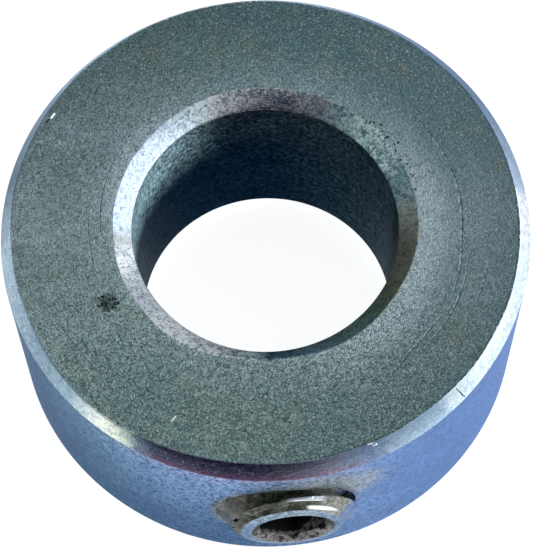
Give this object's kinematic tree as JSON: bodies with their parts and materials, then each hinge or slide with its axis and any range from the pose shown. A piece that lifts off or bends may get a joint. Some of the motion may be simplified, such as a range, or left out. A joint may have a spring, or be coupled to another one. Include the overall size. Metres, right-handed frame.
{
  "type": "shaft collar",
  "caption": "Solid steel shaft collar: a plain chamfered ring with a through bore, locked on a round shaft by a radial socket set screw.",
  "frame": {"origin": "centre of the bore at the middle of the ring's width", "axes": "+Z along the bore; the set screw enters the wall from -Y; +X completes the right-handed frame"},
  "size_m": [0.0254, 0.0262, 0.0112],
  "materials": {
    "zinc_plated_steel": "dull blue-bright zinc plating over turned steel, fine turning marks on the faces",
    "screw_steel": "satin zinc-plated screw steel, darker in the thread and the socket"
  },
  "bodies": {
    "collar": {"collar_ring": "zinc_plated_steel"},
    "screw": {"set_screw": "screw_steel"}
  },
  "joints": [
    {"name": "set_screw_travel", "type": "slide", "parent": "collar", "child": "screw", "axis": [0, -1, 0], "range_m": [-0.00127, 0.00508]}
  ]
}
